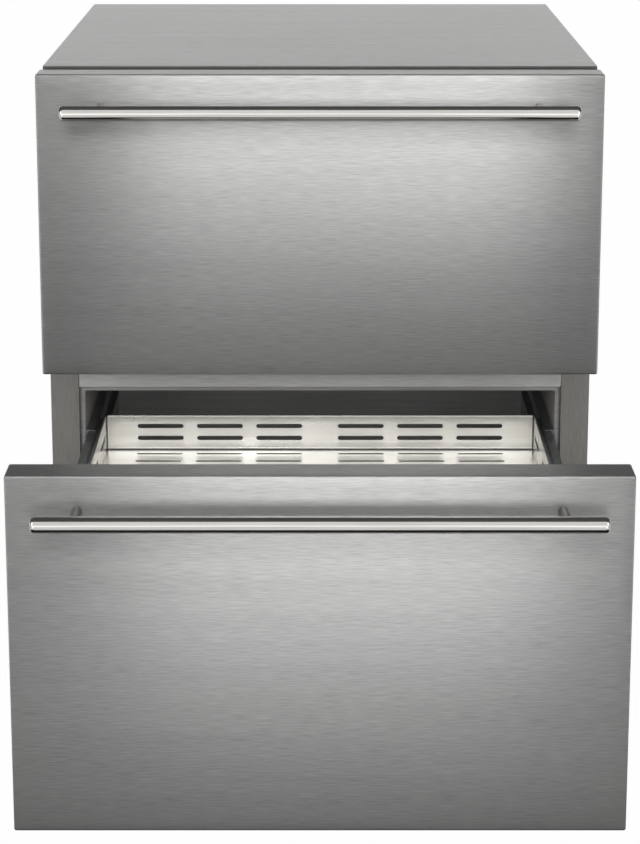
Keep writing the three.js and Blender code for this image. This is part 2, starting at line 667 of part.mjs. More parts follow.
function coolingParts(root, cabinet) {
  const { half, radius } = CAN;
  const [x, y] = [CAN_X, CAN_Y];
  const lowTube = EVAPORATOR.z0 + (EVAPORATOR.z1 - EVAPORATOR.z0) / EVAPORATOR.rows / 2;
  place(cabinet, "evaporator", coil(EVAPORATOR, LINER_BACK, EVAPORATOR.z0 - 10), ALUMINIUM);
  place(cabinet, "evaporator_cover", evaporatorCover(), DARK_LINER);
  place(cabinet, "evaporator_fan_motor", coldFanMotor(), BLACK_PLASTIC);
  place(root, "evaporator_fan_blade", fan(COLD_FAN, COLD_BLADE_Y, COLD_BLADE_DEPTH), GREY_PLASTIC);
  const housing = [
    [HOUSING.x - HOUSING.width / 2, HOUSING.x + HOUSING.width / 2],
    [HOUSING_Z - HOUSING.height / 2, HOUSING_Z + HOUSING.height / 2],
  ];
  const shellOfDial = box(...housing[0], COVER_Y - HOUSING.depth, COVER_Y, ...housing[1]);
  place(cabinet, "thermostat_housing", shellOfDial, GREY_PLASTIC);
  place(root, "thermostat_knob", thermostatKnob(), BLACK_PLASTIC);
  place(cabinet, "compressor", compressor(), BLACK_PAINT);
  place(cabinet, "condenser", coil(CONDENSER, CONDENSER.y1, PAN_TOP), BLACK_PAINT);
  place(cabinet, "condenser_fan_motor", warmFanMotor(), BLACK_PLASTIC);
  place(root, "condenser_fan_blade", fan(WARM_FAN, WARM_FAN.y, WARM_BLADE_DEPTH), GREY_PLASTIC);
  place(cabinet, "drip_tray", dripTray(), BLACK_PLASTIC);
  place(cabinet, "power_inlet", powerInlet(), BLACK_PLASTIC);
  const stub = x - half - TERMINALS.proud - RUNNING_GAP;
  const entry = CAN_BOTTOM + (TERMINALS.low + TERMINALS.high) / 2;
  const suction = [
    [SUCTION_X, SUCTION_Y, lowTube - COIL_TUBE - RUNNING_GAP],
    [SUCTION_X, SUCTION_Y, UPPER_OPENING[0]],
    [SUCTION_X, SUCTION_Y, MACHINE_TOP - 65],
    [SUCTION_X, SUCTION_Y, entry + 65],
    [SUCTION_X + 40, SUCTION_Y, entry + 13],
    [stub + 30 - radius, y, entry],
    [stub, y, entry],
  ];
  place(cabinet, "suction_line", tube(suction, LINE_RADIUS, 28), COPPER);
  const outlet = CONDENSER.x1 + 8 + COIL_TUBE + RUNNING_GAP;
  const level = CONDENSER.z0 + (CONDENSER.z1 - CONDENSER.z0) / CONDENSER.rows / 2;
  const middle = (CONDENSER.y0 + CONDENSER.y1) / 2;
  const canFront = y - radius;
  const meet = CAN_BOTTOM + DISCHARGE_RISE;
  const discharge = [
    [outlet, middle, level],
    [outlet + 40, middle, level],
    [outlet + 60, middle + 60, level + 8],
    [x, (middle + canFront) / 2 + 55, level + 14],
    [x, canFront - 34, meet - 10],
    [x, canFront - 12, meet],
    [x, canFront - RUNNING_GAP, meet],
  ];
  place(cabinet, "discharge_line", tube(discharge, LINE_RADIUS, 26), COPPER);
}

// ---- Drawers ----

// A steel pan, its foam core, the moulded inner liner and the gasket, for a front between two heights.
function drawerFront(group, name, low, high, opening) {
  const half = FRONT_WIDTH / 2;
  const inner = half - SHEET;
  const linerY = FRONT_DEPTH - FRONT_LINER;
  const skin = cut(
    wide(half, 0, FRONT_DEPTH, low, high),
    wide(inner, SHEET, FRONT_DEPTH + 1, low + SHEET, high - SHEET),
  );
  place(group, `front_skin_${name}`, skin, BRUSHED);
  const core = wide(inner, SHEET, linerY, low + SHEET, high - SHEET);
  place(group, `front_core_${name}`, core, FOAM);
  const plate = wide(inner, linerY, FRONT_DEPTH, low + SHEET, high - SHEET);
  const [z0, z1] = [opening[0] + REVEAL + 4, opening[1] - REVEAL - 4];
  const plug = wide(LINER_X - PLUG_SIDE_GAP, FRONT_DEPTH, FRONT_DEPTH + PLUG_DEPTH, z0, z1);
  place(group, `front_liner_${name}`, join(plate, plug), DARK_LINER);
  const edge = half - SEAL_INSET;
  const [y0, y1] = [FRONT_DEPTH, CABINET_Y - RUNNING_GAP];
  const [s0, s1] = [low + SEAL_INSET, high - SEAL_INSET];
  const gasket = cut(
    wide(edge, y0, y1, s0, s1),
    wide(edge - SEAL_WIDTH, y0 - 1, y1 + 1, s0 + SEAL_WIDTH, s1 - SEAL_WIDTH),
  );
  place(group, `gasket_${name}`, gasket, BLACK_RUBBER);
  place(group, `handle_${name}`, handle(high - BAR_BELOW_TOP), BRUSHED);
}

// A round bar with rounded ends on two posts.
function handle(z) {
  const half = BAR_LENGTH / 2;
  const ease = [0, 30, 60, 90].map((degrees) => {
    const turn = (degrees * Math.PI) / 180;
    const radius = BAR_RADIUS - BAR_END_ROUND * (1 - Math.sin(turn));
    return [radius, half - BAR_END_ROUND * (1 - Math.cos(turn))];
  });
  const nearEnd = ease.map(([radius, x]) => [radius, -x]);
  const profile = [[0, -half], ...nearEnd, ...ease.reverse(), [0, half]];
  const bar = turned(profile, "x", 24, [1, 1, 1], [0, -BAR_STANDOFF, z]);
  const post = half - POST_INSET;
  const posts = [-post, post].map((x) => rod("y", x, z, POST_RADIUS, -BAR_STANDOFF, 0, 12));
  return join(bar, ...posts);
}

// A shallow sheet tray with a hemmed rim and slots in its walls and floor.
function bin(y1, floor) {
  const [y0, rim] = [BIN_START, floor + BIN_HEIGHT];
  const cuts = [
    wide(BIN_X - SHEET, y0 + SHEET, y1 - SHEET, floor + SHEET, rim - HEM),
    wide(BIN_X - HEM, y0 + HEM, y1 - HEM, rim - HEM - 1, rim + 1),
  ];
  for (const x of SLOT_COLUMNS) {
    for (const below of SLOT_ROWS) {
      cuts.push(prism(slot(x, rim - below, SLOT_LENGTH, SLOT_HEIGHT), "y", y0 - 1, y1 + 1));
    }
    for (let y = y1 - FLOOR_ROW_START; y > y0 + 10; y -= FLOOR_ROW_PITCH) {
      cuts.push(prism(slot(x, y, SLOT_LENGTH, SLOT_HEIGHT), "z", floor - 1, floor + SHEET + 1));
    }
  }
  for (let y = y1 - 45; y > y0 + 30; y -= SIDE_SLOT_PITCH) {
    const outline = slot(y, floor + BIN_HEIGHT / 2, SLOT_LENGTH, SLOT_HEIGHT);
    cuts.push(prism(outline, "x", -BIN_X - 1, BIN_X + 1));
  }
  return cut(wide(BIN_X, y0, y1, floor, rim), ...cuts);
}

// A drawer's side rail: an upright web with a ledge that carries the bin.
function sideRail(side, length, floor) {
  const web = WEB_X - SHEET;
  const outline = [
    [WEB_X, floor - SHEET],
    [WEB_X, floor + BIN_HEIGHT - RAIL_BELOW_RIM],
    [web, floor + BIN_HEIGHT - RAIL_BELOW_RIM],
    [web, floor],
    [web - RAIL_LEDGE, floor],
    [web - RAIL_LEDGE, floor - SHEET],
  ];
  const start = FRONT_DEPTH + PLUG_DEPTH;
  return prism(outline.map(([x, z]) => [side * x, z]), "y", start, start + length);
}

// A channel section: a web and two lips that reach from it towards one side.
function channel(side, web, lip, half, z, length) {
  const t = SHEET;
  const inward = Math.sign(lip - web);
  const outline = [
    [web, z - half],
    [lip, z - half],
    [lip, z - half + t],
    [web + inward * t, z - half + t],
    [web + inward * t, z + half - t],
    [lip, z + half - t],
    [lip, z + half],
    [web, z + half],
  ];
  return prism(outline.map(([x, h]) => [side * x, h]), "y", SLIDE_START, SLIDE_START + length);
}

// Three telescoping channels: on the liner, between, and on the drawer's side rail.
function slide(groups, name, side, z, length) {
  const step = SHEET + RUNNING_GAP;
  const half = SLIDE_HEIGHT / 2;
  const outer = LINER_X;
  const lip = WEB_X + 3;
  place(groups.cabinet, `slide_outer_${name}`, channel(side, outer, lip, half, z, length), ZINC);
  const middle = channel(side, outer - step, lip - 1, half - step, z, length);
  place(groups.middle, `slide_middle_${name}`, middle, ZINC);
  const inner = channel(side, WEB_X, outer - 2 * step, half - 2 * step, z, length);
  place(groups.drawer, `slide_inner_${name}`, inner, ZINC);
}

function drawer(root, cabinet, name, front, binBelowTop, binEnd, pull) {
  const [low, high, opening] = front;
  const floor = high - binBelowTop - BIN_HEIGHT;
  const length = binEnd - BIN_START + 12;
  const group = new THREE.Group();
  group.position.y = -pull;
  const middle = new THREE.Group();
  middle.position.y = -pull / 2;
  root.add(group, middle);
  drawerFront(group, name, low, high, opening);
  place(group, `bin_${name}`, bin(binEnd, floor), POLISHED);
  const centre = floor + (BIN_HEIGHT - RAIL_BELOW_RIM) / 2;
  for (const [label, side] of [["left", -1], ["right", 1]]) {
    place(group, `side_rail_${name}_${label}`, sideRail(side, length, floor), ZINC);
    slide({ cabinet, middle, drawer: group }, `${name}_${label}`, side, centre, length - 8);
  }
}

// ---- Whole refrigerator ----

const refrigerator = new THREE.Group();
const cabinet = new THREE.Group();
refrigerator.add(cabinet);
shell(cabinet);
faceFrame(cabinet);
compartments(cabinet);
coolingParts(refrigerator, cabinet);
feet(refrigerator);
const upper = [UPPER_BOTTOM, UPPER_TOP, UPPER_OPENING];
const lower = [LOWER_BOTTOM, LOWER_TOP, LOWER_OPENING];
drawer(refrigerator, cabinet, "upper", upper, UPPER_BIN_BELOW_TOP, UPPER_BIN_END, 0);
drawer(refrigerator, cabinet, "lower", lower, BIN_BELOW_TOP, LOWER_BIN_END, LOWER_PULL);
refrigerator.position.y = (LOWER_PULL + BAR_STANDOFF + BAR_RADIUS - BACK_Y) / 2;

export default refrigerator;
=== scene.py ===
"""Undercounter refrigerator with two steel drawers, the lower one pulled out.

Metres, +Z up, drawer fronts facing -Y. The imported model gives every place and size, and this
script adds the folded sheets, round bars, moulded linings, finishes, lamps and the camera.
"""
import json
import math

import bmesh
import bpy
import numpy as np
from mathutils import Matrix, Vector


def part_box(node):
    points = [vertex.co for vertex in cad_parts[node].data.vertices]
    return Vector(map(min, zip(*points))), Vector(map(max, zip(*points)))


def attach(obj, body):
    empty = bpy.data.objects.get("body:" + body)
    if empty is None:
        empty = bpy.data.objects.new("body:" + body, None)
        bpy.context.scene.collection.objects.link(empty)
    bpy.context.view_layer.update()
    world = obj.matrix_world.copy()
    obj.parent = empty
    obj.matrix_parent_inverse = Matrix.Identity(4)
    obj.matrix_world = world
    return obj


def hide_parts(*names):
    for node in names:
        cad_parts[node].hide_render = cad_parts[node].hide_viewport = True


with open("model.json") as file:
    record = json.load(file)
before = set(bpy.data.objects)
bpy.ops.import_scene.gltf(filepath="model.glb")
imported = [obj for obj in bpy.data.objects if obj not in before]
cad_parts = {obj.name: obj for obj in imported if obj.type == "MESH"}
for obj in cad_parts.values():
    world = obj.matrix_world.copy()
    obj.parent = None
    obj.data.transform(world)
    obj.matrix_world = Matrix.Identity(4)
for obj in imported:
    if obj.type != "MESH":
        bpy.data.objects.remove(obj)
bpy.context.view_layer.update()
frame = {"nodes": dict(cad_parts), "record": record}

MM = 0.001
TAU = 2 * math.pi
DRAWERS = ("upper", "lower")
SIDES = ("left", "right")
SLOT_OF = {entry["node"]: entry["material_slot"] for entry in frame["record"]["subparts"]}
BODY_OF = {
    node: body
    for body, nodes in frame["record"]["behaviour"]["bodies"].items()
    for node in nodes
}
GRAIN = {"brushed": "x", "frame": "z"}  # slots with a grain, and its axis

# Real sizes of the finer forms, in metres
SKIN_SHEET = 1.5 * MM
SKIN_BEND = 2.2 * MM  # outside radius of a front's folded edges
SKIN_EDGE = 0.3 * MM  # bevel of the cut edge behind
SKIN_LEAST_CORNER = 0.2 * MM
SKIN_RING = 12 * MM  # from a front's edge to the first ring on its flat face
BAR_RADIUS = 8 * MM
BAR_END_ROUND = 5 * MM
POST_RADIUS = 5 * MM
POST_INSET = 40 * MM  # from the end of the bar
GASKET_WIDTH = 11 * MM
GASKET_CORNER = 14 * MM
GASKET_SHOULDER = 1.2 * MM  # how far its edges stand back from its crown
GASKET_CROWN = 0.9 * MM  # depth of its grooves
BIN_SHEET = 0.8 * MM
BIN_BEND = 3 * MM
BIN_HEM = 5 * MM  # height of the folded rim
BIN_EDGE = 0.12 * MM  # bevel of cut edges
HEM_RADIUS = 0.9 * MM
HEM_FOLD = 0.98 * HEM_RADIUS  # a little less, so that the hem's two bends stay apart
FLOOR_RISE = 1.1 * BIN_SHEET  # lifts the pan off the flanges under it
PAN_PLAY = 1.2 * MM  # between the pan and each side wall
SIDE_FLANGE = 8 * MM  # turned in under the pan
SLOT_LENGTH = 52 * MM
SLOT_HEIGHT = 5 * MM
SLOT_BORDER = 1 * MM  # from a slot to the lines of its cell
SLOT_COLUMNS = np.array([-180, -113, -46, 46, 113, 180]) * MM
SLOT_ROWS = (13 * MM, 27 * MM)  # below the rim
FLOOR_ROW_START = 20 * MM
FLOOR_ROW_PITCH = 28 * MM
FLOOR_ROW_END = 10 * MM  # the front of the floor stays whole
SIDE_SLOT_START = 45 * MM
SIDE_SLOT_PITCH = 92 * MM
SIDE_SLOT_END = 30 * MM
LINER_WALL = 3 * MM
LINER_SHEET = 0.9 * LINER_WALL  # the wall as drawn, inside the CAD's
LINER_CORNER = 3 * MM
LINER_LIP = 2.5 * MM
LINER_FLANGE = 6 * MM
FLANGE_CORNER = 0.3 * MM
LINER_BACK_RING = 60 * MM  # from the flange's edge to the last ring on the back wall
SMOOTH_ANGLE = 35  # degrees up to which shading runs on over an edge
GRAIN_MAP = "across_and_along_the_grain"
ON_LEG = 1e-5  # metres within which a point is on a straight leg


# ---- Materials ----


def linear(code):
    """An sRGB hex colour as linear red, green, blue and alpha."""
    srgb = [int(code[i : i + 2], 16) / 255 for i in (0, 2, 4)]
    return [c / 12.92 if c <= 0.04045 else ((c + 0.055) / 1.055) ** 2.4 for c in srgb] + [1.0]


def add(tree, kind, settings=None, inputs=None):
    """One node, with its settings, and with each input set to a value or linked to a socket."""
    node = tree.nodes.new(kind)
    for name, value in (settings or {}).items():
        setattr(node, name, value)
    for name, value in (inputs or {}).items():
        if isinstance(value, bpy.types.NodeSocket):
            tree.links.new(value, node.inputs[name])
        else:
            node.inputs[name].default_value = value
    return node


def start(name, **sockets):
    """A material with its tree and its shader, whose own sockets take the given values."""
    material = bpy.data.materials.new(name)
    material.use_nodes = True
    tree = material.node_tree
    shader = tree.nodes["Principled BSDF"]
    for socket, value in sockets.items():
        shader.inputs[socket.replace("_", " ")].default_value = value
    return material, tree, shader


def streaks(tree, scale, detail=2.0):
    """Noise on the piece's own coordinates, stretched by a scale for each axis."""
    place = add(tree, "ShaderNodeTexCoord").outputs["Object"]
    stretched = add(tree, "ShaderNodeMapping", inputs={"Vector": place, "Scale": scale})
    inputs = {"Vector": stretched.outputs["Vector"], "Scale": 1.0}
    inputs |= {"Detail": detail, "Roughness": 0.55}
    return add(tree, "ShaderNodeTexNoise", inputs=inputs).outputs["Fac"]


def grained(grain, along, across):
    """A scale for each axis: features per metre along the grain and across it."""
    return [along if axis == grain else across for axis in "xyz"]


def spread(tree, value, low, high, start_at=0.3, end_at=0.7):
    """A pattern's middle values stretched to run from low to high."""
    inputs = {"Value": value, "From Min": start_at, "From Max": end_at}
    inputs |= {"To Min": low, "To Max": high}
    return add(tree, "ShaderNodeMapRange", inputs=inputs).outputs["Result"]


def between(tree, factor, first, second):
    """A colour between two hex colours."""
    inputs = {0: factor, 6: linear(first), 7: linear(second)}
    return add(tree, "ShaderNodeMix", {"data_type": "RGBA"}, inputs).outputs[2]


def mix(tree, first, second, share=0.5):
    """Two patterns or values, mixed by the share of the second."""
    return add(tree, "ShaderNodeMix", inputs={0: share, 2: first, 3: second}).outputs[0]


def relief(tree, height, depth, strength, under=None):
    """A surface normal with bump of a real depth, laid over another normal if there is one."""
    inputs = {"Height": height, "Distance": depth, "Strength": strength}
    if under is not None:
        inputs["Normal"] = under
    return add(tree, "ShaderNodeBump", inputs=inputs).outputs["Normal"]


def coat(tree, shader, pattern, colours, rough, window=(0.3, 0.7)):
    """Colour between two hex colours and roughness between two values, both by one pattern."""
    shade = spread(tree, pattern, 0.0, 1.0, *window)
    tree.links.new(between(tree, shade, *colours), shader.inputs["Base Color"])
    tree.links.new(spread(tree, pattern, *rough, *window), shader.inputs["Roughness"])


def brushed_steel(name, grain, colours, rough):
    """Stainless sheet with a belt-brushed grain along one axis.

    The belt leaves scratches 0.1 to 0.3 mm wide and some 20 mm long, drawn 1 mm wide so that
    they show. They spread a reflection across the grain, which the anisotropy gives, and fainter,
    broader bands and a slight waviness of the sheet keep it from looking even.
    """
    material, tree, shader = start(name, Metallic=1.0, Anisotropic=0.7)
    scratches = streaks(tree, grained(grain, 45.0, 1000.0))
    bands = streaks(tree, grained(grain, 3.0, 60.0))
    coat(tree, shader, mix(tree, scratches, bands, 0.2), colours, (rough + 0.03, rough - 0.03))
    wavy = relief(tree, streaks(tree, [4.5] * 3, 1.0), 0.5 * MM, 0.1)
    tree.links.new(relief(tree, scratches, 0.003 * MM, 1.0, wavy), shader.inputs["Normal"])
    turned = add(tree, "ShaderNodeTangent", {"direction_type": "UV_MAP", "uv_map": GRAIN_MAP})
    tree.links.new(turned.outputs["Tangent"], shader.inputs["Tangent"])
    return material


def bright_sheet(name):
    """Bright-annealed stainless: a soft mirror with cloudy patches and faint rolling lines."""
    material, tree, shader = start(name, Metallic=1.0)
    cloud = streaks(tree, [14.0, 14.0, 20.0], 1.0)
    lines = streaks(tree, grained("x", 9.0, 300.0))
    mixed = mix(tree, cloud, lines, 0.3)
    coat(tree, shader, mixed, ("d6d4cf", "edece8"), (0.33, 0.25), (0.2, 0.8))
    return material


def drawn_bar(name):
    """Stainless bar, polished along its length: tight highlights with hairlines along x."""
    material, tree, shader = start(name, Metallic=1.0)
    hair = streaks(tree, grained("x", 10.0, 900.0))
    coat(tree, shader, hair, ("c9c7c3", "dddbd7"), (0.1, 0.15))
    tree.links.new(relief(tree, hair, 0.002 * MM, 0.4), shader.inputs["Normal"])
    return material


def zinc_sheet(name):
    """Zinc-plated steel: cool grey with crystals a few millimetres across."""
    material, tree, shader = start(name, Metallic=1.0)
    place = add(tree, "ShaderNodeTexCoord").outputs["Object"]
    inputs = {"Vector": place, "Scale": 260.0, "Randomness": 1.0}
    cells = add(tree, "ShaderNodeTexVoronoi", inputs=inputs)
    crystal = add(tree, "ShaderNodeSeparateColor", inputs={"Color": cells.outputs["Color"]})
    cloudy = streaks(tree, [30.0] * 3, 3.0)
    mixed = mix(tree, crystal.outputs["Red"], cloudy, 0.55)
    coat(tree, shader, mixed, ("9a9e9f", "b5b9ba"), (0.32, 0.46))
    tree.links.new(relief(tree, mixed, 0.03 * MM, 0.4), shader.inputs["Normal"])
    return material


def moulded(name, colours, rough, grain_mm, depth=0.05 * MM, metallic=0.0):
    """Moulded, cast or painted surface with an even fine texture of the given size."""
    material, tree, shader = start(name, Metallic=metallic)
    fine = streaks(tree, [1000.0 / grain_mm] * 3)
    soft = streaks(tree, [16.0] * 3, 3.0)
    coat(tree, shader, mix(tree, fine, soft), colours, (rough - 0.06, rough + 0.06))
    tree.links.new(relief(tree, fine, depth, 0.6), shader.inputs["Normal"])
    return material


def dark_lining(name):
    """Grey moulded lining: satin, with a faint horizontal grain. It reads dark in its own shade."""
    material, tree, shader = start(name, Coat_Weight=0.25, Coat_Roughness=0.3)
    lines = streaks(tree, [7.0, 7.0, 420.0], 3.0)
    soft = streaks(tree, [8.0] * 3)
    coat(tree, shader, mix(tree, lines, soft, 0.4), ("7c7a79", "969492"), (0.34, 0.5))
    tree.links.new(relief(tree, lines, 0.02 * MM, 0.5), shader.inputs["Normal"])
    return material


def make_finishes():
    """Every finish by its slot in the record, and the bar's, which has no slot of its own."""
    return {
        "brushed": brushed_steel("brushed_stainless_horizontal", "x", ("9f9f9e", "bbbbba"), 0.43),
        "frame": brushed_steel("brushed_stainless_vertical", "z", ("8a8783", "9b9894"), 0.38),
        "bar": drawn_bar("polished_stainless_bar"),
        "polished": bright_sheet("bright_stainless_sheet"),
        "zinc": zinc_sheet("zinc_plated_steel"),
        "liner": dark_lining("dark_coated_lining"),
        "rubber": moulded("black_pvc_gasket", ("101011", "1b1b1c"), 0.62, 1.2),
        "black_plastic": moulded("black_abs", ("141415", "222324"), 0.46, 1.0),
        "black_paint": moulded("black_powder_coat", ("101112", "1c1d1e"), 0.42, 1.4),
        "can_paint": moulded("black_stove_enamel", ("0e0f10", "191a1b"), 0.3, 2.5),
        "grey_plastic": moulded("grey_polypropylene", ("7d7f80", "939596"), 0.52, 1.0),
        "foam": moulded("rigid_polyurethane_foam", ("d8c78e", "efe3b8"), 0.9, 2.2, 0.4 * MM),
        "aluminium": moulded("mill_aluminium", ("aeb0b1", "c9cbcc"), 0.4, 3.0, 0.02 * MM, 1.0),
        "copper": moulded("drawn_copper", ("a4623f", "c27d55"), 0.3, 4.0, 0.02 * MM, 1.0),
    }


# ---- Meshes ----


def mesh_object(name, points, faces, finish, smooth=True):
    """A piece at the origin from points and faces, its smooth shading broken at sharp edges."""
    mesh = bpy.data.meshes.new(name)
    places = [tuple(point) for point in np.asarray(points, float)]
    mesh.from_pydata(places, [], [list(map(int, face)) for face in faces])
    mesh.update()
    piece = bpy.data.objects.new(name, mesh)
    bpy.context.scene.collection.objects.link(piece)
    mesh.materials.append(finish)
    tidy(piece, smooth)
    return piece


def tidy(piece, smooth=True, weld=1e-6):
    """Doubles merged, normals outwards and, if asked, shading smooth over gentle edges."""
    work = bmesh.new()
    work.from_mesh(piece.data)
    bmesh.ops.remove_doubles(work, verts=work.verts, dist=weld)
    bmesh.ops.recalc_face_normals(work, faces=work.faces)
    work.to_mesh(piece.data)
    work.free()
    if smooth:
        shade(piece)


def shade(piece):
    """Smooth shading that breaks at sharp edges."""
    piece.data.shade_smooth()
    piece.data.set_sharp_from_angle(angle=math.radians(SMOOTH_ANGLE))


def grain_map(piece, grain):
    """A map whose v runs along the grain and u across it, for the shader's tangent.

    At a corner of a face with normal n, u is the place along n x g and v the place along g,
    where g is the grain's axis. Faces that look along the grain take the next axis.
    """
    mesh = piece.data
    corners = np.array([mesh.vertices[loop.vertex_index].co for loop in mesh.loops])
    normals = np.array([face.normal for face in mesh.polygons for _ in face.loop_indices])
    axis = "xyz".index(grain)
    g = np.where(np.abs(normals[:, axis : axis + 1]) < 0.9, np.eye(3)[axis], np.eye(3)[axis - 1])
    flat = np.stack([(corners * np.cross(normals, g)).sum(1), (corners * g).sum(1)], -1)
    mesh.uv_layers.new(name=GRAIN_MAP).data.foreach_set("uv", flat.ravel())


def ring_faces(rings, count):
    """Quads between neighbouring rings of points, each ring closed on itself."""
    ring, place = np.meshgrid(np.arange(rings - 1), np.arange(count), indexing="ij")
    here = ring * count + place
    right = ring * count + (place + 1) % count
    return np.stack([here, right, right + count, here + count], -1).reshape(-1, 4)


def arc(radius, start_angle, end_angle, steps, centre=(0.0, 0.0)):
    """Points on a circle: centre + radius (cos t, sin t) for evenly spaced t."""
    t = np.linspace(start_angle, end_angle, steps + 1)
    return np.stack([centre[0] + radius * np.cos(t), centre[1] + radius * np.sin(t)], -1)


def round_rectangle(half_x, low, high, corner, steps):
    """A closed (x, z) outline: four quarter circles joined by straight sides, anticlockwise."""
    x, lo, hi = half_x - corner, low + corner, high - corner
    quarter = math.pi / 2
    centres = [(x, hi), (-x, hi), (-x, lo), (x, lo)]
    arcs = [
        arc(corner, i * quarter, (i + 1) * quarter, steps, centre)
        for i, centre in enumerate(centres)
    ]
    return np.concatenate(arcs)


def ring_shell(outline, path):
    """Rings of one outline: each (inset, y) of the path scales it in and sets its depth.

    A point of ring i is the outline at that inset, x and z, with y from the path.
    """
    return np.concatenate([
        np.stack([ring[:, 0], np.full(len(ring), y), ring[:, 1]], -1)
        for ring, y in ((outline(inset), y) for inset, y in path)
    ])


def capped(rings, count, near=True):
    """Faces of a stack of closed rings, filled at its far end and by default at its near one."""
    first = list(range(count))
    last = [(rings - 1) * count + i for i in first]
    return [*ring_faces(rings, count), *([first[::-1]] if near else []), last]


def dressed(node, finish):
    """A merged copy of a plain node with softened edges, which stands for the node."""
    piece = bpy.data.objects.new(node + "_form", frame["nodes"][node].data.copy())
    bpy.context.scene.collection.objects.link(piece)
    piece.data.materials.clear()
    piece.data.materials.append(finish)
    tidy(piece, smooth=False, weld=2e-6)
    work = bmesh.new()
    work.from_mesh(piece.data)
    flat = {"verts": work.verts, "edges": work.edges, "angle_limit": math.radians(1)}
    bmesh.ops.dissolve_limit(work, **flat, use_dissolve_boundaries=False)
    work.to_mesh(piece.data)
    work.free()
    shade(piece)
    if SLOT_OF[node] in GRAIN:
        grain_map(piece, GRAIN[SLOT_OF[node]])
    soften(piece, SOFTENED[node])
    return settle(piece, BODY_OF[node], node)


def soften(piece, width, segments=2, angle=40):
    """Rounds the sharp edges of a piece by a bevel, and keeps its flat faces flat in shading."""
    bevel = piece.modifiers.new("softened edges", "BEVEL")
    bevel.width = width
    bevel.segments = segments
    bevel.limit_method = "ANGLE"
    bevel.angle_limit = math.radians(angle)
    bevel.use_clamp_overlap = True
    bevel.harden_normals = True


def settle(piece, body, node):
    """The piece rides on a body and stands for a node, which it hides."""
    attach(piece, body)
    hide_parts(node)
    return piece


def thicken(piece, wall, offset):
    """Gives a sheet its wall: offset 0 centres it on the drawn face, and 1 lays it outside."""
    solid = piece.modifiers.new("sheet", "SOLIDIFY")
    solid.thickness = wall
    solid.offset = offset
    solid.use_even_offset = True


# ---- Drawer fronts and handles ----


def front_skin(name, finish):
    """A folded steel pan.

    Round-cornered rings follow the front's outline: the inset falls as R (1 - sin t) while y
    grows as R (1 - cos t) round the fold, then the sides run back, turn over their thickness
    and return inside.
    """
    node = f"front_skin_{name}"
    low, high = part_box(node)
    centre = (SKIN_BEND, low.y + SKIN_BEND)
    bend = arc(SKIN_BEND, -math.pi / 2, -math.pi, 6, centre)
    inner_bend = arc(SKIN_BEND - SKIN_SHEET, math.pi, 1.5 * math.pi, 4, centre)
    rear = high.y - SKIN_EDGE
    path = [(SKIN_RING, low.y), *bend, (0.0, rear), (SKIN_EDGE, high.y)]
    path += [(SKIN_SHEET - SKIN_EDGE, high.y), (SKIN_SHEET, rear)]
    path += [*inner_bend, (SKIN_RING, low.y + SKIN_SHEET)]

    def outline(inset):
        corner = max(SKIN_BEND - inset, SKIN_LEAST_CORNER)
        return round_rectangle(high.x - inset, low.z + inset, high.z - inset, corner, 5)

    points = ring_shell(outline, path)
    faces = capped(len(path), len(points) // len(path))
    piece = mesh_object(f"drawer_skin_{name}", points, faces, finish)
    grain_map(piece, "x")
    return settle(piece, f"drawer_{name}", node)


def lathe(profile, sides, axis, centre):
    """A profile of (distance along x or y, radius) turned round that axis through a centre."""
    turn = np.arange(sides) / sides * TAU
    along, radius = np.asarray(profile).T
    a = np.repeat(along, sides)
    b = np.outer(radius, np.cos(turn)).ravel()
    c = np.outer(radius, np.sin(turn)).ravel()
    order = {"x": (a, b, c), "y": (c, a, b)}[axis]
    return np.stack(order, -1) + np.asarray(centre), capped(len(profile), sides)


def joined(parts):
    """Several point and face lists as one."""
    points, faces, offset = [], [], 0
    for some, theirs in parts:
        points.append(some)
        faces += [[int(i) + offset for i in face] for face in theirs]
        offset += len(some)
    return np.concatenate(points), faces


def handle(name, finish, post_finish):
    """A round bar, and two posts of duller steel behind it.

    Near each end the radius falls as R - r (1 - sin t) while x nears the end as r (1 - cos t).
    """
    node = f"handle_{name}"
    low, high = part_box(node)
    z = (low.z + high.z) / 2
    y = low.y + BAR_RADIUS
    half = high.x
    t = np.linspace(0, math.pi / 2, 9)
    x = half - BAR_END_ROUND * (1 - np.cos(t))
    radius = BAR_RADIUS - BAR_END_ROUND * (1 - np.sin(t))
    far_end = np.stack([x, radius], -1)[::-1]
    near_end = np.stack([-x, radius], -1)
    turned = lathe(np.concatenate([near_end, far_end]), 64, "x", (0.0, y, z))
    bar = mesh_object(f"bar_handle_{name}", *turned, finish)
    post = [(y, POST_RADIUS), (high.y, POST_RADIUS)]
    at = half - POST_INSET
    pair = joined([lathe(post, 32, "y", (x, 0.0, z)) for x in (-at, at)])
    posts = mesh_object(f"bar_posts_{name}", *pair, post_finish)
    grain_map(posts, "z")
    settle(posts, f"drawer_{name}", node)
    return settle(bar, f"drawer_{name}", node)


